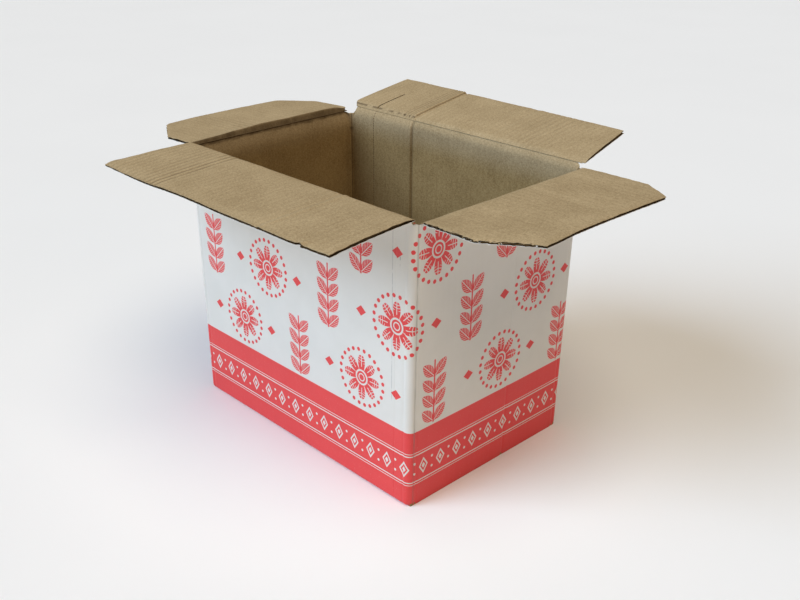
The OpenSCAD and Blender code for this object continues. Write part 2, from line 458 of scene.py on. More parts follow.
def smooth_least(a, b, k):
    """The lesser of two values, rounded where they are within k of each other."""
    h = np.maximum(k - np.abs(a - b), 0.0) / k
    return np.minimum(a, b) - h * h * k / 4


def ease(t):
    """0 below 0, 1 above 1, and a smooth step between."""
    t = np.clip(t, 0.0, 1.0)
    return t * t * (3 - 2 * t)


def wander(x, step, seed):
    """A random line from -1 to 1: a random value at every step, eased between."""
    knots = np.random.default_rng(seed).uniform(-1.0, 1.0, 2048)
    t = np.asarray(x) / step + 1000.0
    i = np.floor(t).astype(int)
    return knots[i] + (knots[i + 1] - knots[i]) * ease(t - i)


def bell(x, width):
    """A smooth bump of height 1 at 0."""
    return np.exp(-((x / width) ** 2))


def build(name, points, faces, flat, marks, materials, sharp=38.0, wear=0.0):
    """A new object from points and a flat map in millimetres, faces, their materials and the painted shade.
    """
    mesh = bpy.data.meshes.new(name)
    faces = np.asarray(faces, np.int32)
    mesh.vertices.add(len(points))
    mesh.vertices.foreach_set("co", (np.asarray(points) * MM).astype(np.float32).ravel())
    mesh.loops.add(faces.size)
    mesh.loops.foreach_set("vertex_index", faces.ravel())
    mesh.polygons.add(len(faces))
    mesh.polygons.foreach_set("loop_start", np.arange(0, faces.size, 4, dtype=np.int32))
    for material in materials:
        mesh.materials.append(material)
    mesh.polygons.foreach_set("material_index", np.array(np.broadcast_to(marks, len(faces)), np.int32))
    layer = mesh.uv_layers.new(name="flat")
    layer.data.foreach_set("uv", (np.asarray(flat)[faces.ravel()] * MM).astype(np.float32).ravel())
    scuff_and_shade = mesh.attributes.new("wear", "FLOAT", "POINT")
    scuff_and_shade.data.foreach_set("value", np.array(np.broadcast_to(wear, len(points)), np.float32))
    mesh.update(calc_edges=True)
    mesh.validate()
    mesh.shade_smooth()
    mesh.set_sharp_from_angle(angle=math.radians(sharp))
    piece = bpy.data.objects.new(name, mesh)
    bpy.context.scene.collection.objects.link(piece)
    print("  %s: %d points, %d faces" % (name, len(points), len(faces)))
    return piece


class Pile:
    """Gathers sheets of one piece, each with its own points, faces, flat map, face materials and painted
    shade.
    """

    def __init__(self):
        self.points, self.faces, self.flat, self.marks, self.wear, self.count = [], [], [], [], [], 0

    def add(self, points, faces, flat, marks, wear=0.0):
        self.points.append(points.reshape(-1, 3))
        self.faces.append(np.asarray(faces) + self.count)
        self.flat.append(flat.reshape(-1, 2))
        self.marks.append(np.broadcast_to(marks, len(faces)))
        self.wear.append(np.broadcast_to(wear, points.shape[:-1]).ravel())
        self.count += self.points[-1].shape[0]

    def sheet(self, upper, lower, flat, marks, keep=None, wear=0.0):
        """A sheet between two grids of points. Marks are the materials of its top, underside and rim."""
        rows, cols = upper.shape[:2]
        parts = sheet_faces(rows, cols, keep)
        self.add(
            np.stack([upper, lower]), np.concatenate(parts), np.stack([flat, flat]),
            np.concatenate([np.full(len(p), m) for p, m in zip(parts, marks)]), wear,
        )

    def build(self, name, materials):
        parts = self.points, self.faces, self.flat, self.marks, self.wear
        points, faces, flat, marks, wear = (np.concatenate(part) for part in parts)
        return build(name, points, faces, flat, marks, materials, wear=wear)


print("sheets are ready")

# %% [markdown]
# ## The walls
#
# The four walls are one ring: a section of the board carried round a rounded rectangle. The section goes
# up the outside, over the top, and down the inside. Along a crease its top is cut back on the inside,
# because a scored board opens there when the flap swings out. The left crease is cut more steeply than
# the others. In the slots at the corners the top is cut square. The ring starts at the back left corner,
# where the sheet is glued, and the inside carries the glued lap as a step. The walls are counted from 0:
# left, front, right, back.


# %% Path of the walls
STRAIGHTS = [WIDTH - 2 * CORNER, LENGTH - 2 * CORNER] * 2
ARC = math.pi * CORNER / 2
STOPS = np.concatenate([[0.0], np.cumsum(np.ravel([[s, ARC] for s in STRAIGHTS]))])
STARTS = np.array([
    [-HALF_L, HALF_W - CORNER], [-HALF_L + CORNER, -HALF_W],
    [HALF_L, -HALF_W + CORNER], [HALF_L - CORNER, HALF_W],
])
WAYS = np.array([[0.0, -1.0], [1.0, 0.0], [0.0, 1.0], [-1.0, 0.0]])
HUBS = np.array([[-1, -1], [1, -1], [1, 1], [-1, 1]]) * np.array([HALF_L - CORNER, HALF_W - CORNER])
SCORE_AT = ARC * np.array([0.5, 0.9, 0.5, 0.5])  # where the score line lies in each fold
FRONT_LINE, RIGHT_LINE = 18.0, 120.0  # distances of two walls' upright lines from the near corner


def wall_path(s):
    """Place, outward direction, wall number, way along the wall and whether in a fold, at distances s."""
    part = np.clip(np.searchsorted(STOPS, s, side="right") - 1, 0, 7)
    wall, local = part // 2, s - STOPS[part]
    way = WAYS[wall]
    out = np.stack([way[:, 1], -way[:, 0]], 1)
    angle = math.pi + wall * math.pi / 2 + local / CORNER
    round_out = np.stack([np.cos(angle), np.sin(angle)], 1)
    bent = (part % 2 == 1)[:, None]
    place = np.where(bent, HUBS[wall] + CORNER * round_out, STARTS[wall] + way * local[:, None])
    return place, np.where(bent, round_out, out), wall, local, bent[:, 0]


def wall_columns():
    """Distances round the ring: close together at folds, shoulders, the lap's edge and the tear line."""
    edge = np.array([0.02, 0.35, 0.8, 1.3, 1.9, 2.6, 3.6, 5.0, 7.5])
    lap_edge = np.array([-3.0, -2.0, -1.4, -0.9, -0.5, 0.0, 0.6, 1.2, 1.8, 2.6])
    marks = []
    for wall, length in enumerate(STRAIGHTS):
        own = [edge, length - edge, np.linspace(10.0, length - 10.0, int(length / 4.5))]
        if wall == 1:
            own.append(length + CORNER - FRONT_LINE + np.array([-1.2, -0.5, -0.2, 0.0, 0.2, 0.5, 1.2]))
        if wall == 2:
            own.append(RIGHT_LINE - CORNER + np.array([-4.0, -2.0, -0.8, 0.0, 0.8, 2.0, 4.0]))
        if wall == 3:
            own.append(length + CORNER - LAP_WIDTH + lap_edge)
            own.append(length + CORNER - TEAR + np.array([-0.7, -0.35, 0.0, 0.35, 0.7]))
        marks.append(np.unique(np.concatenate(own)) + STOPS[2 * wall])
        fold = [ARC * np.linspace(0.0, 1.0, 12)[1:-1], SCORE_AT[wall] + np.linspace(-0.7, 0.7, 5)]
        marks.append(STOPS[2 * wall + 1] + np.sort(np.concatenate(fold)))
    return np.concatenate(marks)


print("round the walls: %.1f mm" % STOPS[-1])


# %% Ring of the walls
SHOULDERS = np.array([[5.7, 2.6], [2.6, 2.6], [2.6, 2.6], [2.6, 3.5]])  # at each wall's start and end
LEFT_LEAN = 3.0  # how steeply the left flap's root rises, where the others rise by 1
HINGE_ROOM = 0.4  # how far the walls' tops stay under the hinge lines


def ring_top(wall, local, length, bent):
    """Height of the ring's top, and how far it is cut back there, from 0 in a slot to 1 on a crease.

    A wall ends in rounded shoulders at the two slots on the left. The two corners on the right have hardly
    any slot: their tops run on from one crease to the next, with a small ragged notch in the fold.
    """
    crease = np.where(wall % 2 == 1, LONG_CREASE, END_CREASE)
    starts = local < length / 2
    joined = np.where(starts, (wall == 2) | (wall == 3), (wall == 1) | (wall == 2))
    reach = np.where(starts, SHOULDERS[wall, 0], SHOULDERS[wall, 1])
    end = np.where(joined, 10.0, np.minimum(local, length - local) / reach)
    rise = np.where(bent, 0.0, np.sqrt(np.clip(1 - (1 - np.clip(end, 0, 1)) ** 2, 0, 1)))
    top = RING_TOP + (crease - HINGE_ROOM - RING_TOP) * rise
    share = local / ARC
    other = LONG_CREASE + END_CREASE - crease
    ragged = 0.5 * wander(local, 0.8, 77) * bell(share - 0.5, 0.3)
    notch = np.where(wall == 1, 2.4, 1.2) * bell(share - 0.42, 0.13) + ragged
    bridge = crease + (other - crease) * ease(share) - HINGE_ROOM - notch
    folded = bent & ((wall == 1) | (wall == 2))
    return np.where(folded, bridge, top), np.where(folded, 1.0, ease(rise * 1.6))


def wall_ring():
    """The section carried round the path. Depth goes inwards from the outer face, height is along Z."""
    s = wall_columns()
    place, out, wall, local, bent = wall_path(s)
    length = np.array(STRAIGHTS)[wall]
    end = np.where(bent, 0.0, np.minimum(local, length - local))
    top, rim = ring_top(wall, local, length, bent)

    # Thickness: the lap lies inside the back wall, from the back left corner to its sloped edge
    u = np.where((wall == 3) & ~bent, length + CORNER - local, 1e3)
    groove = bell(u - LAP_WIDTH - GROOVE, 0.8)
    lap = LAP * ease((LAP_WIDTH + 0.4 - u) / 1.8) - 0.8 * groove - 0.4 * bell(u - TEAR, 0.35)
    lap = np.where(bent & (wall == 3), LAP * ease(1 - local / ARC), lap)
    thick = BOARD + lap

    # The outer face: a valley beside each upright fold, a score line on it, and the marks of two walls
    valley = -0.4 * bell(end - 1.6, 1.1) * ~bent
    score = bell(local - SCORE_AT[wall], np.where(wall == 1, 0.7, 0.5)) * bent
    line = np.where(wall == 1, -0.22 * bell(length + CORNER - local - FRONT_LINE, 0.3), 0.0)
    line = line + np.where(wall == 2, -0.5 * np.exp(-np.abs(local + CORNER - RIGHT_LINE) / 1.2), 0.0)
    face = valley - np.where(wall == 1, 0.6, 0.35) * score + np.where(bent, 0.0, line)

    low = np.array([0.0, 0.5, 1.2, 2.0, 2.7, 2.9, 4.0, 6.0, 10.0])
    middle = np.linspace(18.0, 234.0, 25)
    under = np.array([12.0, 8.0, 5.0, 2.5, 1.0, 0.3, 0.0])
    tall = (len(s), 1)
    z_out = np.concatenate([np.tile(low, tall), np.tile(middle, tall), top[:, None] - under], 1)
    long_wall = (wall % 2 == 1) ^ (bent & (local > ARC / 2))
    fold = np.where(z_out < 4.0, 4.0 - np.sqrt(np.clip(16.0 - (4.0 - z_out) ** 2, 0, 16)), 0.0)
    step = np.where(z_out < 2.8, 0.8, 0.0)
    d_out = np.where(long_wall[:, None], fold, step) - face[:, None]

    # The inside, cut back along the creases: how softly, how steeply and how far down, wall by wall
    over = np.array([0.0, 0.25, 0.6, 1.0, 1.5, 2.1, 2.8, 3.6, 4.6, 6.0, 8.5, 12.0, 16.0])
    foot = np.array([10.0, 6.0, 4.0, 2.0])
    z_in = np.concatenate([top[:, None] - over, np.tile(middle[::-1], tall), np.tile(foot, tall)], 1)
    below = top[:, None] - z_in
    soft = np.array([0.9, 2.4, 2.4, 5.0])[wall][:, None]
    lean = np.array([1.2 * LEFT_LEAN, 1.0, 1.0, 1.0])[wall][:, None]
    room = np.array([0.35, 0.35, 0.35, -0.45])[wall][:, None]
    mitred = smooth_least((below - room) / lean, thick[:, None], soft)
    mitred = np.maximum(mitred, 0.06 - face[:, None])
    d_in = rim[:, None] * mitred + (1 - rim[:, None]) * thick[:, None]

    # Painted shade: dark in the lap's groove and the inner folds, broken dark dashes under the left crease,
    # a little on the lap below the rim, and in the outer score lines
    ragged = below - 1.7 - 0.8 * wander(s, 4.0, 94)[:, None]
    dash = (0.45 + 0.2 * wander(s, 2.6, 91))[:, None] * (1 - ease(ragged / 1.6))
    dash = dash + 0.2 * np.exp(-below / 16.0)
    dash = np.where(((wall == 0) & ~bent)[:, None], dash, 0.0)
    lines = 0.35 * bell(u - LAP_WIDTH - GROOVE, 1.2) + 0.6 * bent * bell(local - ARC / 2, 1.0)
    shade_in = lines[:, None] + dash
    shade_in = shade_in + 0.13 * (u < LAP_WIDTH)[:, None] * ease((below - 5.0) / 20.0)
    shade_out = 0.55 * score[:, None] * (0.7 + 0.3 * wander(z_out, 9.0, 92))

    depth = np.concatenate([d_out, d_in], 1)
    height = np.concatenate([z_out, z_in], 1)
    swell = 0.7 * np.sin(math.pi * np.clip(local / length, 0, 1)) * ~bent
    depth = depth - swell[:, None] * np.sin(math.pi * np.clip(height / RING_TOP, 0, 1))
    across = place[:, None, :] - out[:, None, :] * depth[:, :, None]
    points = np.concatenate([across, height[:, :, None]], 2)
    flat = np.stack([np.broadcast_to(s[:, None], height.shape), height], 2)
    return points, flat, np.concatenate([shade_out, shade_in], 1), z_out.shape[1]


def close_ring(grid, shift):
    """Repeats the first column after the last, moved on by shift, and the section's start at its end."""
    grid = np.concatenate([grid, grid[:1] + shift])
    return np.concatenate([grid, grid[:, :1]], 1)


ring_points, ring_flat, ring_shade, outer_rows = wall_ring()
ring_cols, ring_rows = ring_shade.shape
ring_marks = np.where(np.tile(np.arange(ring_rows), ring_cols) < outer_rows - 1, 0, 1)
walls = build(
    "carton_walls", close_ring(ring_points, 0.0).reshape(-1, 3), squares(ring_cols + 1, ring_rows + 1),
    close_ring(ring_flat, np.array([STOPS[-1], 0.0])).reshape(-1, 2), ring_marks, [printed, inner], 50.0,
    close_ring(ring_shade, 0.0).ravel(),
)

# %% [markdown]
# The ring was unrolled with its first column and its first row doubled, so that the flat map has a seam.
# The doubled points are merged now, which closes the surface while each face keeps its own flat map.


# %% Merging the seams
def merge(piece, gap=1e-6):
    """Merges doubled points and turns the faces outwards."""
    work = bmesh.new()
    work.from_mesh(piece.data)
    bmesh.ops.remove_doubles(work, verts=work.verts, dist=gap)
    bmesh.ops.recalc_face_normals(work, faces=work.faces)
    work.to_mesh(piece.data)
    work.free()
    return piece


merge(walls)
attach(walls, "body")
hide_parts("box_body")
print("walls:", len(walls.data.polygons), "faces")

# %% [markdown]
# ## The folded bottom
#
# The bottom is made of four flaps, glued: the two long ones outside, meeting near the middle, and the two
# end ones inside on top of them. Only their inner faces show from above, as brown paper with a step at
# the end flaps' edges.


# %% Bottom flaps
def plate(x0, x1, y0, y1, z0, z1, n=(41, 21)):
    """A flat sheet whose upper edges fall away a little, the less the further in from the edge."""
    x, y = np.meshgrid(np.linspace(x0, x1, n[0]), np.linspace(y0, y1, n[1]))
    edge = np.minimum(np.minimum(x - x0, x1 - x), np.minimum(y - y0, y1 - y))
    upper = np.stack([x, y, z1 - 0.5 * np.exp(-edge / 1.5)], -1)
    lower = np.stack([x, y, np.full_like(x, z0)], -1)
    return upper, lower


bottom = Pile()
for y0, y1 in ((-HALF_W + 3.2, 3.4), (3.8, HALF_W - 3.2)):
    upper, lower = plate(-HALF_L + 1.0, HALF_L - 1.0, y0, y1, 0.0, BOARD)
    bottom.sheet(upper, lower, upper[..., :2], (1, 0, 1))
for x0, x1 in ((-HALF_L + 2.8, -HALF_L + 92.0), (HALF_L - 92.0, HALF_L - 2.8)):
    upper, lower = plate(x0, x1, -HALF_W + 5.0, HALF_W - 5.0, BOARD - 0.02, 2 * BOARD, (31, 41))
    bottom.sheet(upper, lower, upper[..., 1::-1], (1, 1, 1))
bottom = merge(bottom.build("bottom_flaps", [white, inner]))
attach(bottom, "body")

# %% [markdown]
# ## The top flaps
#
# A flap is where the board can be looked into. It is built as the real board is: an outer facing, a wavy
# sheet and an inner facing, each a thin sheet of its own. All three share one map from flat board to bent
# board, so a bow or a crushed edge moves them together. Near the crease the inner facing comes down the
# opened score to the hinge line, at 45 degrees or, on the left flap, more steeply. At the free edge the
# three sheets simply end, and the open flutes show. The knife leaves the sides ragged, so each sheet's
# side lines wander by a little of their own.

# %% Hinges of the flaps
# Turn to the wall, distance from the middle, height, and swing out from upright in degrees
HINGES = {
    "front": (180.0, HALF_W, LONG_CREASE, 93.5),
    "back": (0.0, HALF_W, LONG_CREASE, 81.5),
    "right": (-90.0, HALF_L, END_CREASE, 90.0),
    "left": (90.0, HALF_L, END_CREASE, 92.5),
}
FRONT_DEPTH, BACK_DEPTH, END_DEPTH = 83.0, 76.0, 91.0
ROOT = 0.45  # height of the inner facing on the hinge line
TRIM = 9.0  # how far in from the free edge a bite is felt


def turned(x, y, z, turn):
    """Points drawn at the back wall, carried round to the wall at this turn."""
    t = math.radians(turn)
    return np.stack([x * math.cos(t) - y * math.sin(t), x * math.sin(t) + y * math.cos(t), z], -1)


def straight(low, high, draw, depth):
    """Side lines of a plain flap, the higher one drawing in towards the free edge."""
    return lambda v: (low + 0.0 * v, high - draw * v / depth)


def tapered(low, high, low_start, low_in, high_start, high_in, depth):
    """Side lines that run straight and then draw in, in step with the depth past the taper's start."""
    return lambda v: (
        low + low_in * np.clip((v - low_start) / (depth - low_start), 0, 1),
        high - high_in * np.clip((v - high_start) / (depth - high_start), 0, 1),
    )


print("swings out from upright:", {name: hinge[3] for name, hinge in HINGES.items()})


# %% Flat board to flap
class Flap:
    """A flap lying level: u along its crease, v away from it, w up from its outside. place() swings it.

    The hooks say how this flap differs from a clean one, in millimetres at u, v. Bow moves all sheets,
    ripple is how far the inner facing sinks between flutes, dent moves that facing alone, ridge lifts it
    along the crease, bite takes from the free edge and press is how far that edge is pressed together.
    A hook for painted shade darkens the inner facing, and a strong ripple paints shade into its valleys.
    Fray is the raggedness of the low and the high side, and shoulder rounds their corners at the crease.
    Lean is how steeply the inner facing rises from the hinge, bend how softly it turns and score how far it
    stays pressed. Slit is a column of squares and a length, rim the edge's material.
    """

    def __init__(self, name, low, high, depth, sides, fine=False):
        self.name, self.low, self.depth, self.sides, self.fine = name, low, depth, sides, fine
        self.turn, self.reach, self.height, self.swing = HINGES[name]
        flutes = int(round((high - low) / PITCH))
        self.pitch = (high - low) / flutes
        self.share = np.linspace(0.0, 1.0, 8 * flutes + 1)
        for hook in ("bow", "dent", "ridge", "stain"):
            setattr(self, hook, lambda u, v: 0.0)
        self.ripple = lambda u, v: 0.06
        self.bite = lambda u: 0.0
        self.press = lambda u: 0.7
        self.fray, self.shoulder = (0.1, 0.1), (1.0, 1.0)
        self.lean, self.bend, self.score = 1.0, 2.4, 1.2
        self.slit, self.rim = None, 0
        self.seed = abs(int(self.turn)) + 7
        self.pile = Pile()

    def rows(self, start, gap):
        """Distances from the crease: close together at both ends, and every gap between."""
        near = np.array([0.0, 0.35, 0.8, 1.3, 1.9, 2.6, 3.4, 4.4, 5.6, 7.2, 9.5, 12.5])
        last = self.depth - np.array([7.0, 4.5, 2.6, 1.3, 0.5, 0.0])
        middle = np.linspace(15.0, self.depth - 9.0, int((self.depth - 24.0) / gap))
        rows = np.concatenate([near, middle, last])
        return rows[rows >= start]

    def trim(self, v, edge):
        """Rows with the free edge moved in by edge."""
        return v - edge * ease((v - self.depth + TRIM) / TRIM)

    def grid(self, rows, layer):
        """Points u, v of the flat board: each row runs from one ragged side line to the other."""
        lo, hi = self.sides(rows)
        curves = [r * (1 - np.sqrt(1 - np.clip(1 - rows / r, 0, 1) ** 2)) for r in self.shoulder]
        lo = lo + curves[0] + self.fray[0] * wander(rows, 1.3, self.seed + layer)
        hi = hi - curves[1] + self.fray[1] * wander(rows, 1.3, self.seed + layer + 10)
        u = lo[:, None] + (hi - lo)[:, None] * self.share
        v = np.broadcast_to(rows[:, None], u.shape)
        return u, self.trim(v, self.bite(u) + 0.18 * wander(u, 2.3, self.seed + layer + 20))

    def wave(self, u):
        return np.cos(2 * math.pi * (u - self.low) / self.pitch)

    def crush(self, u, v):
        """How far the board is pressed together near its cut edges, where it has been handled."""
        lo, hi = self.sides(v)
        free = self.press(u) * np.exp(-np.maximum(self.depth - v, 0.0) / 2.2)
        free = free * (0.8 + 0.2 * wander(u, 9.0, self.seed + 40))
        sides = 0.0
        for inward, fray, seed in ((u - lo, self.fray[0], 41), (hi - u, self.fray[1], 42)):
            ragged = 0.5 + 0.5 * wander(v, 4.0, self.seed + seed)
            sides = sides + ragged * np.exp(-np.maximum(inward, 0.0) / 1.6) * fray
        return free + 1.6 * sides

    def place(self, u, v, w):
        """Bows the board, then swings it about the crease and carries it to its wall."""
        w = w + self.bow(u, v)
        a = math.radians(90.0 - self.swing)
        y = self.reach + v * math.cos(a) - w * math.sin(a)
        z = self.height + v * math.sin(a) + w * math.cos(a)
        return turned(u, y, z, self.turn)

    def flat(self, u, v):
        return np.stack([u - self.low, v], -1)

    def kept(self, v):
        """Squares that stay: all but those in the slit."""
        if self.slit is None:
            return None
        column, length = self.slit
        keep = np.ones((v.shape[0] - 1, v.shape[1] - 1), bool)
        keep[v[1:, column] < length, column] = False
        return keep

    def level(self, v):
        """Height of the inner facing away from the hinge: the score presses it down by less and less."""
        return BOARD - self.score * np.exp(-v / 5.0)

    def top(self, u, v):
        """Height of the inner facing: it rises from the opened score and rounds over to the board."""
        sag = self.ripple(u, v) * ((1 - self.wave(u)) / 2) ** 2 * ease((v - 2.5) / 6.0)
        sway = 0.4 * wander(u, 16.0, self.seed + 50) * np.exp(-v / 7.0) * ease(v / 2.5)
        rise = smooth_least(self.lean * v + ROOT, self.level(v) + self.ridge(u, v), self.bend)
        return rise - sag - self.crush(u, v) + self.dent(u, v) + sway

    def wear(self, u, v):
        """Painted shade on the inner facing: in the valleys of a strongly pressed washboard, and from the
        hook for painted shade.
        """
        valley = np.maximum(self.ripple(u, v) - 0.08, 0.0) * ((1 - self.wave(u)) / 2) ** 3
        scuff_and_shade = np.minimum(1.6 * valley * (0.7 + 0.3 * wander(u * 3.1 + v, 9.0, self.seed + 60)), 0.5)
        return np.maximum(scuff_and_shade, self.stain(u, v))

    def layer(self, u, v, upper, lower, marks, wear=0.0, keep=None):
        """Adds the sheet between two heights."""
        keep = self.kept(v) if keep is None else keep
        skins = self.place(u, v, upper), self.place(u, v, lower)
        self.pile.sheet(*skins, self.flat(u, v), marks, keep, wear)

    def board(self):
        """Adds the inner facing, the outer facing and the wave. Facings sink between their glue lines."""
        gap, wave_gap = (1.6, 3.0) if self.fine else (3.8, 7.0)
        u, v = self.grid(self.rows(0.0, gap), 0)
        upper = self.top(u, v)
        lower = np.maximum(upper - FACING, FACING + 0.02)
        self.layer(u, v, upper, lower, (0, 1, self.rim), self.wear(u, v))
        u, v = self.grid(self.rows(0.0, gap), 1)
        lift = 0.05 * (1 + self.wave(u)) / 2 * ease((v - 4.0) / 8.0)
        self.layer(u, v, FACING + lift, lift, (1, 2, 2))
        u, v = self.grid(self.rows(5.5, wave_gap), 2)
        room = BOARD - np.minimum(self.crush(u, v) - np.minimum(self.dent(u, v), 0.0), 2.0)
        high = np.maximum(room / 2 - FACING - WAVE / 2, 0.02) * ease((v - 4.0) / 6.0)
        middle = room / 2 + high * self.wave(u)
        self.layer(u, v - 0.25, middle + WAVE / 2, middle - WAVE / 2, (1, 1, 1))

    def finish(self):
        """Builds the piece and hangs it on its own body."""
        piece = merge(self.pile.build(self.name + "_flap_board", [brown, wave_brown_and_shade, white]))
        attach(piece, self.name)
        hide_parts(self.name + "_flap")


print("flaps: %.0f, %.0f and %.0f mm deep" % (FRONT_DEPTH, BACK_DEPTH, END_DEPTH))

# %% [markdown]
# ### Front flap
#
# Its left third has been pressed, so the flutes stand out there as a washboard, with painted shade in its
# valleys. A soft fold crosses it further along, and near its right end the edge has a nick with a flake of
# paper that stands up.


# %% Front flap
def front_sides(v):
    """The right side is nearly straight; the left side slants in towards the crease."""
    back_share = np.clip(1 - v / FRONT_DEPTH, 0, 1)
    return -HALF_L - 2.0 + 5.0 * back_share * (1 - back_share), HALF_L + 1.0 - 12.5 * back_share


FOLD_AT, NICK_AT, PRESSED_AT = -75.0, -120.0, 68.0
flap = Flap("front", -HALF_L - 2.0, HALF_L + 1.0, FRONT_DEPTH, front_sides)
flap.bow = lambda u, v: (v / FRONT_DEPTH) ** 2 * (0.8 * np.cos(u * 0.021 + 0.5) + 0.5 * np.sin(u * 0.05))
flap.ripple = lambda u, v: (
    0.06 + 0.2 * ease((u - PRESSED_AT + 14.0) / 10.0) * (0.7 + 0.3 * wander(u, 13.0, 61))
    + 0.5 * bell(u - PRESSED_AT - 3.0, 9.0) * (0.75 + 0.25 * wander(v, 20.0, 62))
)
flap.dent = lambda u, v: (
    0.5 * bell(u - FOLD_AT, 2.4) - 0.5 * bell(u - FOLD_AT - 4.5, 2.6)
    + 1.7 * bell(u - NICK_AT, 2.0) * ease((v - FRONT_DEPTH + 7.0) / 7.0)
)
flap.bite = lambda u: (
    2.0 * bell(u - NICK_AT - 3.5, 1.8) - 1.2 * bell(u - NICK_AT, 1.6) - 0.6 * ease((NICK_AT - u) / 2.0)
    - 2.7 * ease((u + 130.0) / 30.0) + 1.8 * ease((NICK_AT - 8.0 - u) / 20.0)
    + 1.2 * ease((u - 70.0) / 50.0)
)
flap.press = lambda u: 0.8 + 0.8 * ease((u - 80.0) / 20.0)
flap.fray = (0.4, 0.15)
flap.shoulder = (1.5, 1.5)
flap.board()
flap.finish()

# %% [markdown]
# ### Back flap
#
# The glued lap goes on over this flap as a second, pressed layer with a groove beside its edge and
# crushed lines along it. The slit that continues the tear line is a column of squares left out of every
# sheet.


# %% Back flap
low, high = -HALF_L + 4.0, HALF_L + 1.5
flap = Flap("back", low, high, BACK_DEPTH, straight(low, high, 13.5, BACK_DEPTH))
SLIT, SLIT_HALF, LAP_EDGE = -HALF_L + TEAR, 0.7, -HALF_L + LAP_WIDTH
BEFORE_SLIT = 22  # columns of the lap's layer up to the slit


def with_slit(share, span):
    """Columns with the slit's two sides put in, and the number of the column between them."""
    sides = (np.array([SLIT - SLIT_HALF, SLIT + SLIT_HALF]) - low) / span
    clear = share[np.abs(share - sides.mean()) > 1.1 / span]
    share = np.sort(np.concatenate([clear, sides]))
    return share, int(np.searchsorted(share, sides[0]))


flap.share, slit_column = with_slit(flap.share, high - low)
flap.slit = slit_column, SLIT_LENGTH
# The inner facing's cut edges, the slit's sides among them, take the wavy sheet's brown, painted dark as
# shade.
flap.rim = 1
flap.bow = lambda u, v: (
    v / BACK_DEPTH * smooth_least(0.6 - 0.017 * u, 0.3, 1.0)
    + (v / BACK_DEPTH) ** 2 * np.minimum(0.6 * np.cos(u * 0.019 - 0.4), 0.05)
)
flap.ripple = lambda u, v: 0.05 + 0.12 * bell(u - 75.0, 30.0)
flap.dent = lambda u, v: (
    -0.8 * bell(u - LAP_EDGE - 1.6, 1.0) + 0.2 * bell(u - 44.0, 3.0) - 0.2 * bell(u - 38.0, 4.0)
    - 1.2 * ease((u - 100.0) / 40.0) * np.exp(-v / 15.0) * ease(v / 3.0)
)
flap.bite = lambda u: 1.8 * ease((u + 40.0) / 40.0) - 1.8 * ease((-80.0 - u) / 40.0)
flap.shoulder = (6.0, 1.0)
flap.board()

rows = flap.rows(0.0, 3.8)
across = np.concatenate([
    np.linspace(low, SLIT - SLIT_HALF, BEFORE_SLIT), np.linspace(SLIT + SLIT_HALF, LAP_EDGE - 18.0, 16),
    np.linspace(LAP_EDGE - 17.0, LAP_EDGE - 2.2, 44), LAP_EDGE - np.array([1.6, 1.1, 0.7, 0.4, 0.2, 0.0]),
])
u, v = np.meshgrid(across, rows)
u = np.maximum(u, flap.grid(rows, 0)[0][:, :1])
v = flap.trim(v, flap.bite(u))
lines = sum(bell(u - LAP_EDGE + k, 0.7) for k in (4.0, 7.0, 10.5, 14.5))
fall = LAP * (1 - ease((LAP_EDGE - u) / 1.8)) + 0.28 * lines + 0.25 * bell(u - SLIT, 1.6)
upper = smooth_least(v + ROOT, flap.level(v) + LAP, 2.4) - fall - 0.5 * flap.crush(u, v)
lower = np.minimum(smooth_least(v + ROOT, flap.level(v), 2.4) - 0.3, upper - 0.05)
keep = np.ones((len(rows) - 1, len(across) - 1), bool)
keep[rows[1:] < SLIT_LENGTH, BEFORE_SLIT - 1] = False
# Painted shade: dark along the crushed lines, at the lap's edge and in broken dashes along the crease.
dashes = 0.8 * bell(v - 2.2, 0.7) * ease(0.4 + 3.0 * wander(u, 3.0, 93))
scuff_and_shade = 0.35 * lines + 0.6 * bell(u - LAP_EDGE, 0.9) + dashes
flap.layer(u, v, upper, lower, (0, 1, 1), scuff_and_shade, keep)
flap.finish()

# %% [markdown]
# ### End flaps
#
# These have straight sides near the crease and draw in towards the free edge. The right flap's front side
# is torn: its sheets end in different ragged lines, and white paper shows between them.


# %% End flaps
low, high = -HALF_W + 4.0, HALF_W - 6.5
sides = tapered(low, high, 65.0, 15.0, 52.0, 28.0, END_DEPTH)
right_flap = Flap("right", low, high, END_DEPTH, sides, fine=True)
right_flap.bow = lambda u, v: (v / END_DEPTH) ** 2 * 0.6 * np.cos(u * 0.03)
right_flap.ripple = lambda u, v: 0.05
right_flap.dent = lambda u, v: 0.22 * bell(u + 30.0 - 0.1 * v, 5.0) - 0.15 * bell(u + 22.0 - 0.1 * v, 5.0)
right_flap.fray = (0.2, 0.8)
right_flap.shoulder = (2.0, 6.0)
right_flap.bite = lambda u: 0.8 * bell(u + 84.0, 2.0) - 1.5 * ease((u - 30.0) / 25.0)
right_flap.board()
right_flap.finish()

low, high = -HALF_W + 4.0, HALF_W - 5.2
sides = tapered(low, high, 40.0, 30.0, 52.0, 24.0, END_DEPTH)
flap = Flap("left", low, high, END_DEPTH, sides)
flap.bow = lambda u, v: (v / END_DEPTH) ** 2 * 0.6 * np.cos(u * 0.02)
flap.ripple = lambda u, v: 0.06 + 0.3 * bell(u + 25.0, 18.0) * np.exp(-v / 60.0)
flap.bite = lambda u: 5.5 * ease((-20.0 - u) / 50.0)
flap.ridge = lambda u, v: 2.8 * ease((u + HALF_W) / 90.0) * ease((93.0 - u) / 16.0) * bell(v - 2.5, 6.0)
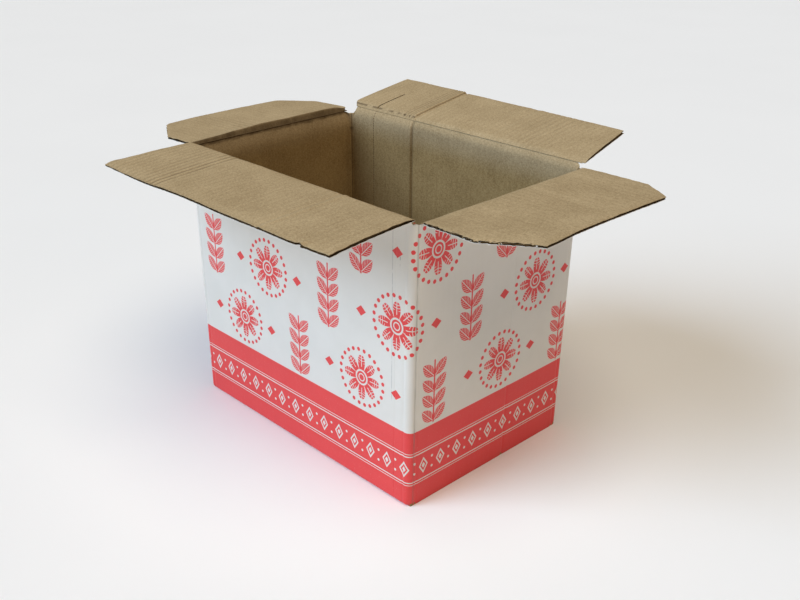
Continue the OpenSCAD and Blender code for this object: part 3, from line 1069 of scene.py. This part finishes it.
# Painted shade: a dark strip on the root's steep face, to match the shaded inner wall below it.
flap.stain = lambda u, v: (0.72 + 0.1 * wander(u, 5.0, 95)) * (1 - ease((v - 1.0) / 1.6))
flap.lean = LEFT_LEAN
flap.shoulder = (1.5, 7.0)
flap.fray = (0.5, 0.1)
flap.bend = 0.9
flap.score = 0.5
flap.board()
flap.finish()

# %% [markdown]
# ### Torn paper
#
# Where the knife has torn the board, scraps of its facings stand out. A scrap is a small square sheet,
# curled along one side, and a whole row of them is worked out at once: each has its own place, size, turn
# and curl.


# %% Torn paper
def scraps(place, count, seed, sizes, stand):
    """Curled squares: on a scrap's grid a, b the height grows with b and its square, then it is turned."""
    rng = np.random.default_rng(seed)
    a, b = np.meshgrid(np.linspace(-0.5, 0.5, 4), np.linspace(0.0, 1.0, 4))
    long, wide = rng.uniform(*sizes, (2, count, 1, 1))
    turn, curl, tilt = rng.uniform(-1, 1, (3, count, 1, 1))
    x = a * wide * (1 - 0.5 * b * rng.uniform(0, 1, (count, 1, 1)))
    y = b * long
    z = (0.5 * curl * b * b + 0.5 * tilt * b) * long * stand
    x, y = x * np.cos(turn) - y * np.sin(turn), x * np.sin(turn) + y * np.cos(turn)
    return place(x, y, z + 0.12), place(x, y, z)


def add_scraps(pile, rule, spots, out, w, seed, sizes, mark, stand=1.0):
    """Scraps on a flap at spots u, v, pointing along out, at heights w. Stand scales their curl."""
    count = len(spots)
    u0, v0 = spots[:, 0, None, None], spots[:, 1, None, None]
    level = np.random.default_rng(seed + 5).uniform(*w, (count, 1, 1))

    def place(x, y, z):
        return rule.place(u0 + out[0] * y - out[1] * x, v0 + out[1] * y + out[0] * x, level + z)

    upper, lower = scraps(place, count, seed, sizes, stand)
    for top, under in zip(upper, lower):
        pile.sheet(top, under, rule.flat(top[..., 0], top[..., 1]), (mark, mark, mark))


pile = Pile()
v = np.sort(np.random.default_rng(3).uniform(6.0, 88.0, 40))
spots = np.stack([right_flap.sides(v)[1] - 0.7, v], 1)
add_scraps(pile, right_flap, spots, (0.92, 0.3), (1.0, 2.7), 11, (0.5, 1.7), 0)
add_scraps(pile, right_flap, spots[::3] + 0.6, (0.92, 0.3), (0.1, 1.4), 12, (0.5, 1.5), 1)
torn = merge(pile.build("right_flap_torn_paper", [brown, white]))
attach(torn, "right")

pile = Pile()
near_spots = np.array([[96.5, -3.2], [98.5, -3.8], [97.5, -1.8]])
add_scraps(pile, right_flap, near_spots, (0.3, 0.5), (0.2, 0.8), 21, (2.0, 3.2), 0, 0.3)
add_scraps(pile, right_flap, near_spots[:1] + 0.8, (0.5, -0.3), (0.8, 1.2), 22, (2.2, 3.0), 2, 0.3)
back_spots = np.array([[-98.0, -2.0], [-99.0, -1.0], [-97.0, -0.6], [-98.5, -3.0]])
add_scraps(pile, right_flap, back_spots, (-0.3, 0.5), (-0.8, 0.8), 23, (2.0, 3.2), 0)
corners = merge(pile.build("corner_torn_paper", [brown, white, printed]))
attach(corners, "body")

# %% [markdown]
# ## The creases
#
# Between the wall's cut-back top and the flap's cut-back root, a roll of soft folded paper fills the
# hinge line. It is a thin tube along the crease whose radius wanders a little.


# %% Crease rolls
def crease_roll(name, ends, wear):
    """A tube along the crease: a circle carried along X, with a slowly waving radius and pointed ends."""
    turn, reach, height, _ = HINGES[name]
    x = np.linspace(ends[0], ends[1], 160)
    angle = np.linspace(0, 2 * math.pi, 11)
    radius = 0.5 + 0.03 * np.sin(x * 0.37) * np.sin(x * 0.11 + 1.0)
    radius = radius * np.sqrt(np.clip(np.minimum(x - ends[0], ends[1] - x), 0, 1))
    y = reach + radius[:, None] * np.cos(angle)
    z = height + radius[:, None] * np.sin(angle)
    x = np.broadcast_to(x[:, None], y.shape)
    points = turned(x, y, z, turn).reshape(-1, 3)
    flat = np.stack([x, np.broadcast_to(angle, y.shape)], -1).reshape(-1, 2)
    piece = merge(build("crease_" + name, points, squares(*y.shape), flat, 0, [brown], wear=wear), 1e-7)
    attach(piece, "body")


LONG_END, SHORT_END = HALF_L - CORNER, HALF_W - CORNER
# The last number is painted shade on each roll: some at the front and right creases, most at the left.
crease_roll("front", (-LONG_END, LONG_END), 0.3)
crease_roll("back", (-LONG_END, LONG_END + 6.0), 0.0)
crease_roll("right", (-SHORT_END, SHORT_END), 0.3)
crease_roll("left", (-SHORT_END, SHORT_END), 0.8)

# %% [markdown]
# ## Floor and light
#
# The box stands on a wide pale floor. Three distant, soft lights stand for the room: a warm ceiling light
# from above and a little to the right, a cool window from the left and the front, and a weak warm light
# from the right. The world adds a weak fill, and the camera alone sees it as a pale backdrop.


# %% Floor
def pale_floor():
    """A wide plane under the box, on a grid of two parameters."""
    x, y = np.meshgrid(np.linspace(-6e3, 6e3, 3), np.linspace(-6e3, 6e3, 3))
    points = np.stack([x, y, np.full_like(x, -0.05)], -1).reshape(-1, 3)
    f = Finish("pale_floor")
    solid = f.node("ShaderNodeTexCoord", None, (), "Object")
    colour = f.mix(f.noise(solid, 3.0, 2.0), srgb(240, 240, 240), srgb(244, 244, 244))
    f.set(Base_Color=colour, Roughness=0.7, Specular_IOR_Level=0.2)
    return build("floor", points, squares(3, 3), points[:, :2], 0, [f.material])


floor = pale_floor()
floor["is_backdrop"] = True


# %% Light
def sun(name, toward, power, spread, colour):
    """A distant light that shines from the direction toward, soft over the angle spread in degrees."""
    light = bpy.data.lights.new(name, "SUN")
    light.energy, light.angle, light.color = power, math.radians(spread), colour
    z = np.array(toward, float) / np.linalg.norm(toward)
    x = np.cross([0.0, 1.0, 0.01], z)
    x /= np.linalg.norm(x)
    put_in_scene(name, light, np.stack([x, np.cross(z, x), z], 1))


sun("ceiling", (0.36, -0.1, 1.0), 1.82, 50.0, (1.0, 0.88, 0.71))
sun("window", (-0.45, -0.95, 0.7), 2.95, 40.0, (0.66, 0.81, 1.0))
sun("room", (1.0, -0.1, 0.2), 0.2, 30.0, (1.0, 0.6, 0.3))

sky = bpy.data.worlds.new("room_light")
sky.use_nodes = True
nodes, links = sky.node_tree.nodes, sky.node_tree.links
fill, backdrop = nodes["Background"], nodes.new("ShaderNodeBackground")
FILL, BACKDROP = (1.0, 0.98, 0.96, 1.0), (0.8, 0.8, 0.8, 1.0)
for shade, colour, strength in ((fill, FILL, 0.05), (backdrop, BACKDROP, 1.0)):
    shade.inputs["Color"].default_value = colour
    shade.inputs["Strength"].default_value = strength
seen, either = nodes.new("ShaderNodeLightPath"), nodes.new("ShaderNodeMixShader")
for start, end in (
    (seen.outputs["Is Camera Ray"], either.inputs[0]), (fill.outputs[0], either.inputs[1]),
    (backdrop.outputs[0], either.inputs[2]), (either.outputs[0], nodes["World Output"].inputs["Surface"]),
):
    links.new(start, end)
bpy.context.scene.world = sky
bpy.context.scene.view_settings.view_transform = "Standard"

# %% [markdown]
# ## Closing
#
# The box round the finished model is measured and printed beside that of the solids.

# %% Sizes and finish
low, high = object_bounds()
{"cad": [list(cad_low), list(cad_high)], "visual": [list(low), list(high)]}
for label, start, end in (("solids", cad_low, cad_high), ("model", low, high)):
    print(label, [round(b - a, 4) for a, b in zip(start, end)])
